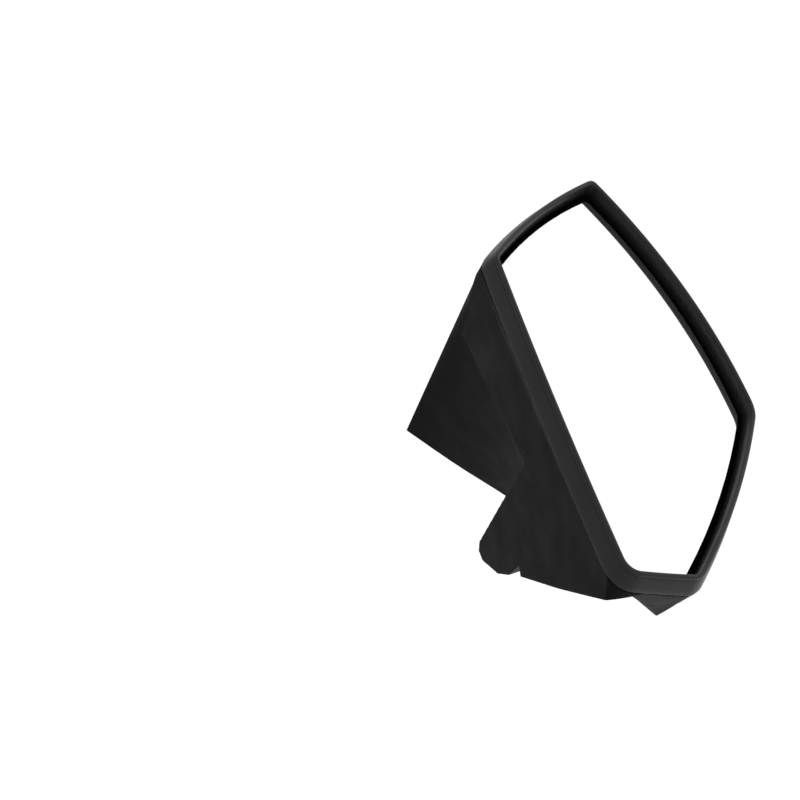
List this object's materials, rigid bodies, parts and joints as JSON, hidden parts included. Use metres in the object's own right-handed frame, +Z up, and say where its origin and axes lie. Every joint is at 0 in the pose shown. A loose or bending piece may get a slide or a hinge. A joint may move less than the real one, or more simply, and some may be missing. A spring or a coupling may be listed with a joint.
{
  "type": "car side mirror head",
  "caption": "Car side mirror head: five-sided bezel, two-part housing with an arm pocket, and a heated glass on a two-axis tilting drive.",
  "frame": {"origin": "outboard face of the inboard leg wall in the arm pocket, where the door arm is fastened", "axes": "-Y is the way the glass faces, +X is outboard, +Z is up"},
  "size_m": [0.2425, 0.202, 0.1527],
  "materials": {
    "bezel_plastic": "satin moulded",
    "housing_plastic": "satin, fine grain",
    "arm_side_plastic": "satin, fine grain",
    "mirror": "polished",
    "heater_foil": "printed foil",
    "carrier_plastic": "satin",
    "case_plastic": "satin",
    "drive_plastic": "smooth",
    "steel": "zinc plated",
    "brass": "machined"
  },
  "bodies": {
    "head": {"bezel_ring": "bezel_plastic", "upper_shell": "housing_plastic", "arm_side_shell": "arm_side_plastic", "pivot_post": "case_plastic", "pivot_screw": "steel", "pivot_spring": "steel", "cover_screw_1": "steel", "cover_screw_2": "steel", "cover_screw_3": "steel", "actuator_cover": "case_plastic", "actuator_base": "case_plastic", "tilt_motor": "steel", "turn_motor": "steel", "frame_screw_1": "steel", "frame_screw_2": "steel", "support_frame": "carrier_plastic", "connector_socket": "drive_plastic", "fixing_sleeve_upper": "steel", "fixing_sleeve_lower": "steel"},
    "gimbal": {"gimbal_ring": "drive_plastic", "tilt_pin_left": "steel", "tilt_pin_right": "steel", "turn_pin_lower": "steel", "turn_pin_upper": "steel"},
    "glass": {"mirror_glass": "mirror", "heater_pad": "heater_foil", "glass_carrier": "carrier_plastic", "heater_terminal_1": "brass", "heater_terminal_2": "brass"},
    "tilt_plunger": {"tilt_plunger": "drive_plastic"},
    "turn_plunger": {"turn_plunger": "drive_plastic"},
    "tilt_gear": {"tilt_gear": "drive_plastic"},
    "turn_gear": {"turn_gear": "drive_plastic"},
    "tilt_worm": {"tilt_worm": "brass"},
    "turn_worm": {"turn_worm": "brass"}
  },
  "joints": [
    {"name": "glass_tilt", "type": "hinge", "parent": "head", "child": "gimbal", "pos_m": [-0.007, -0.0814, 0.007], "axis": [1, 0, 0], "range_deg": [-3.5, 3.5]},
    {"name": "glass_turn", "type": "hinge", "parent": "gimbal", "child": "glass", "pos_m": [-0.007, -0.0814, 0.007], "axis": [0, 0, 1], "range_deg": [-3.5, 3.5]},
    {"name": "tilt_plunger_slide", "type": "slide", "parent": "head", "child": "tilt_plunger", "axis": [0, -1, 0], "range_m": [-0.00112, 0.00112]},
    {"name": "turn_plunger_slide", "type": "slide", "parent": "head", "child": "turn_plunger", "axis": [0, -1, 0], "range_m": [-0.00131, 0.00131]},
    {"name": "tilt_gear_spin", "type": "hinge", "parent": "head", "child": "tilt_gear", "pos_m": [-0.007, -0.0654, 0.0245], "axis": [0, 1, 0], "range_deg": [-67.3, 67.3]},
    {"name": "turn_gear_spin", "type": "hinge", "parent": "head", "child": "turn_gear", "pos_m": [0.0135, -0.0654, 0.007], "axis": [0, 1, 0], "range_deg": [-78.9, 78.9]},
    {"name": "tilt_worm_spin", "type": "hinge", "parent": "head", "child": "tilt_worm", "pos_m": [-0.0175, -0.0654, 0.0245], "axis": [0, 0, 1], "range_deg": [-785, 785]},
    {"name": "turn_worm_spin", "type": "hinge", "parent": "head", "child": "turn_worm", "pos_m": [0.0135, -0.0654, -0.0035], "axis": [1, 0, 0], "range_deg": [-920, 920]}
  ],
  "couplings": [
    {"joint": "tilt_plunger_slide", "follows": "glass_tilt", "m_per_rad": 0.0175},
    {"joint": "turn_plunger_slide", "follows": "glass_turn", "m_per_rad": -0.0205},
    {"joint": "tilt_gear_spin", "follows": "glass_tilt", "ratio": 18.326},
    {"joint": "turn_gear_spin", "follows": "glass_turn", "ratio": -21.468},
    {"joint": "tilt_worm_spin", "follows": "glass_tilt", "ratio": 219.91},
    {"joint": "turn_worm_spin", "follows": "glass_turn", "ratio": -257.61}
  ]
}
